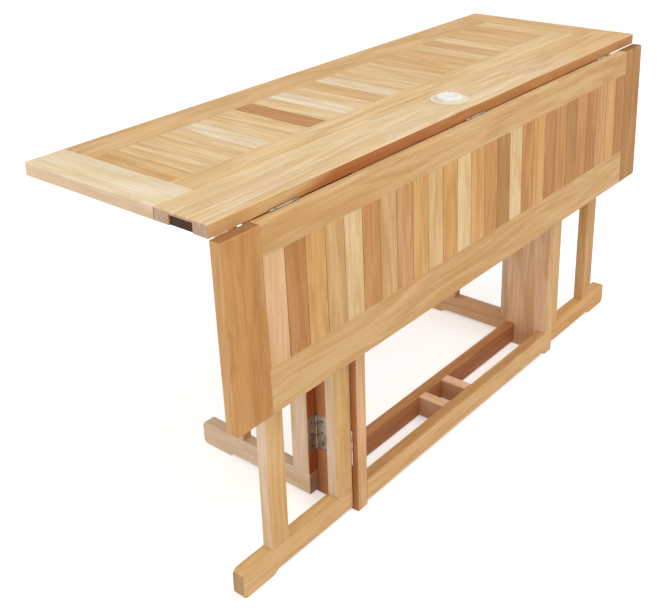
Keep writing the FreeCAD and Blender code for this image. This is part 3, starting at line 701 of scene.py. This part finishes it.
for end, x_side in (("left", -1), ("right", 1)):
    heads = []
    for row, y_side in (("front", -1), ("back", 1)):
        pin_x, pin_y, _ = gate_pins[f"{row}_{end}_gate"]
        for middle in plate_heights(f"{end}_plank_hinges"):
            for step in (-1, 0, 1):
                place = (
                    pin_x - x_side * GATE_GAP_HALF,
                    pin_y - y_side * GATE_PLATE_MIDDLE,
                    middle + step * GATE_SCREW_STEP,
                )
                heads.append((place, (x_side, 0, 0)))
    screws(f"{end}_plank_hinge_screws", "centre_frame", heads, GATE_HEAD_RISE)
    for row, y_side in (("front", -1), ("back", 1)):
        gate = f"{row}_{end}_gate"
        pin_x, pin_y, _ = gate_pins[gate]
        heads = []
        for middle in plate_heights(f"{gate}_hinge_plates"):
            for step in (-1, 0, 1):
                z = middle + step * GATE_SCREW_STEP
                if row == "front":
                    place = (pin_x + x_side * GATE_GAP_HALF, pin_y - y_side * GATE_PLATE_MIDDLE, z)
                    facing = (-x_side, 0, 0)
                else:
                    place = (pin_x + x_side * GATE_PLATE_MIDDLE, pin_y + y_side * GATE_GAP_HALF, z)
                    facing = (0, -y_side, 0)
                heads.append((place, facing))
        screws(f"{gate}_hinge_screws", gate, heads, GATE_HEAD_RISE)

# Leaf hinges: three screws along each plate, in the undersides of the board and the leaf
LEAF_PLATE_HALF = 0.034  # half its length
LEAF_PLATE_MIDDLE = 0.0105  # from the pin across to the line of screws
LEAF_GAP_HALF = 0.0005  # from the pin up to the plate's face
LEAF_SCREW_STEP = 0.023
LEAF_HEAD_RISE = 0.0001
leaf_pins = {joint["child"]: joint["pos_m"] for joint in frame["joints"] if "leaf" in joint["name"]}
_, seam_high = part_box("back_seam_hinges")
OUTER_HINGE = seam_high[0] - LEAF_PLATE_HALF

for row, y_side in (("front", -1), ("back", 1)):
    _, pin_y, pin_z = leaf_pins[f"{row}_leaf"]
    board_heads = []
    leaf_heads = []
    for middle in (-OUTER_HINGE, 0.0, OUTER_HINGE):
        for step in (-1, 0, 1):
            x = middle + step * LEAF_SCREW_STEP
            board_place = (x, pin_y - y_side * LEAF_PLATE_MIDDLE, pin_z + LEAF_GAP_HALF)
            board_heads.append((board_place, (0, 0, -1)))
            spot = Vector((0, y_side * LEAF_PLATE_MIDDLE, LEAF_GAP_HALF))
            facing = Vector((0, 0, -1))
            if row == "front":
                hang = Matrix.Rotation(math.pi / 2 - HANG_TILT, 3, "X")
                spot, facing = hang @ spot, hang @ facing
            leaf_heads.append((Vector((x, pin_y, pin_z)) + spot, facing))
    screws(f"{row}_seam_hinge_screws", "centre_frame", board_heads, LEAF_HEAD_RISE)
    screws(f"{row}_leaf_hinge_screws", f"{row}_leaf", leaf_heads, LEAF_HEAD_RISE)

# ---------------------------------------------------------------- parasol ring and cap
# A flanged ring of cream plastic lines the parasol hole in the board.
# A white plastic cap with a soft rim stops it when there is no pole.

RING_CREAM = paint(232, 220, 192)
RING_SOILED = paint(222, 206, 172)
CAP_WHITE = paint(238, 236, 230)
CAP_SOILED = paint(228, 222, 210)
PLASTIC_CLOUDS = (60.0, 60.0, 60.0)
ORANGE_PEEL = (900.0, 900.0, 900.0)
PLASTIC_ROUND = 0.0012
PEEL_DEPTH = 0.0003
SOIL_ROUGHNESS = 0.1


def moulded_plastic(name, clean, soiled, roughness):
    """Moulded plastic with a faint orange-peel skin, slightly soiled in clouds."""
    material = bpy.data.materials.new(name)
    material.use_nodes = True
    tree = material.node_tree
    shader = tree.nodes["Principled BSDF"]
    shader.inputs["Specular IOR Level"].default_value = 0.5
    own = tree.nodes.new("ShaderNodeTexCoord").outputs["Object"]
    cloud = noise(tree, vectors(tree, "MULTIPLY", own, PLASTIC_CLOUDS), detail=3.0)
    cloud = ease(tree, cloud, 0.4, 0.7)
    peel = noise(tree, vectors(tree, "MULTIPLY", own, ORANGE_PEEL), detail=1.0)
    edges = use_group(tree, eased_edges, {"Radius": PLASTIC_ROUND})
    tree.links.new(stain(tree, cloud, clean, soiled), shader.inputs["Base Color"])
    rough = sums(tree, "MULTIPLY_ADD", cloud, SOIL_ROUGHNESS, roughness)
    tree.links.new(rough, shader.inputs["Roughness"])
    wired = {"Height": peel, "Normal": edges["Normal"], "Strength": 0.05, "Distance": PEEL_DEPTH}
    relief = put(tree, "ShaderNodeBump", wired)
    tree.links.new(relief.outputs[0], shader.inputs["Normal"])
    return material


ring_plastic = moulded_plastic("ring_plastic", RING_CREAM, RING_SOILED, roughness=0.38)
dress("parasol_ring", ring_plastic)
cap_plastic = moulded_plastic("cap_plastic", CAP_WHITE, CAP_SOILED, roughness=0.28)
dress("parasol_cap", cap_plastic)

# ---------------------------------------------------------------- studio
# A plain pale floor under a plain pale sky, with a broad soft lamp in front and a weaker one at the
# left. Seen directly or in a reflection, floor and sky are whiter than the light they give.

FLOOR_HALF = 30.0
FLOOR_TONE = (0.9, 0.9, 0.9, 1.0)
FLOOR_LIFT = 0.45  # glow that is added to the floor as it is seen
SKY_LIGHT = 0.68
WHITE = (1, 1, 1, 1)

floor_mesh = bpy.data.meshes.new("floor")
corners = [
    (x_side * FLOOR_HALF, y_side * FLOOR_HALF, 0.0)
    for x_side, y_side in ((-1, -1), (1, -1), (1, 1), (-1, 1))
]
floor_mesh.from_pydata(corners, [], [(0, 1, 2, 3)])
floor = bpy.data.objects.new("floor", floor_mesh)
bpy.context.scene.collection.objects.link(floor)


def seen_or_mirrored(tree):
    """1 for a ray from the camera or off a glossy surface, and 0 for one that brings light."""
    rays = tree.nodes.new("ShaderNodeLightPath").outputs
    return sums(tree, "MAXIMUM", rays["Is Camera Ray"], rays["Is Glossy Ray"])


floor_paint = bpy.data.materials.new("floor_paint")
floor_paint.use_nodes = True
tree = floor_paint.node_tree
matt = tree.nodes["Principled BSDF"]
matt.inputs["Base Color"].default_value = FLOOR_TONE
matt.inputs["Roughness"].default_value = 1.0
matt.inputs["Specular IOR Level"].default_value = 0.0
lift = sums(tree, "MULTIPLY", seen_or_mirrored(tree), FLOOR_LIFT)
glow = put(tree, "ShaderNodeEmission", {"Color": WHITE, "Strength": lift})
both = put(tree, "ShaderNodeAddShader", {0: matt.outputs[0], 1: glow.outputs[0]})
tree.links.new(both.outputs[0], tree.nodes["Material Output"].inputs["Surface"])
floor_mesh.materials.append(floor_paint)

world = bpy.data.worlds.new("studio_sky")
bpy.context.scene.world = world
world.use_nodes = True
tree = world.node_tree
sky = tree.nodes["Background"]
sky.inputs["Color"].default_value = WHITE
wired = {"Value": seen_or_mirrored(tree), "To Min": SKY_LIGHT, "To Max": 1.0}
level = put(tree, "ShaderNodeMapRange", wired)
tree.links.new(level.outputs[0], sky.inputs["Strength"])


def lamp(name, place, aim, size, power):
    """A square soft lamp."""
    light = bpy.data.lights.new(name, "AREA")
    light.size = size
    light.energy = power
    holder = bpy.data.objects.new(name, light)
    holder.location = place
    holder.rotation_euler = (Vector(aim) - Vector(place)).to_track_quat("-Z", "Y").to_euler()
    bpy.context.scene.collection.objects.link(holder)


TABLE_MIDDLE = (0.0, 0.1, 0.5)
lamp("key_lamp", (0.2, -2.3, 3.7), TABLE_MIDDLE, size=2.6, power=60.0)
lamp("fill_lamp", (-3.4, 0.2, 1.5), TABLE_MIDDLE, size=2.4, power=24.0)

# ---------------------------------------------------------------- camera
# It stands off the left front corner, above the top, and looks down across the table.
# Its lens is shifted, so that the lens axis meets the frame above its middle.

FRAME_WIDTH = 665
FRAME_HEIGHT = 615
FOCAL_PIXELS = 1018.4
AXIS_ROW = 185.07  # where the lens axis meets the frame, in pixels from its top
SENSOR_WIDTH = 36.0  # in millimetres
CAMERA_PLACE = (-1.66912, -1.09874, 1.34398)
CAMERA_TURN = (68.5903, 1.6063, -50.3078)  # in degrees about X, Y and Z

camera_data = bpy.data.cameras.new("camera")
camera_data.sensor_width = SENSOR_WIDTH
camera_data.sensor_fit = "HORIZONTAL"
camera_data.lens = FOCAL_PIXELS / FRAME_WIDTH * SENSOR_WIDTH
camera_data.shift_y = (AXIS_ROW - FRAME_HEIGHT / 2) / FRAME_WIDTH
camera = bpy.data.objects.new("camera", camera_data)
camera.location = CAMERA_PLACE
camera.rotation_euler = [math.radians(angle) for angle in CAMERA_TURN]
bpy.context.scene.collection.objects.link(camera)
bpy.context.scene.camera = camera
bpy.context.scene.view_settings.view_transform = "Standard"
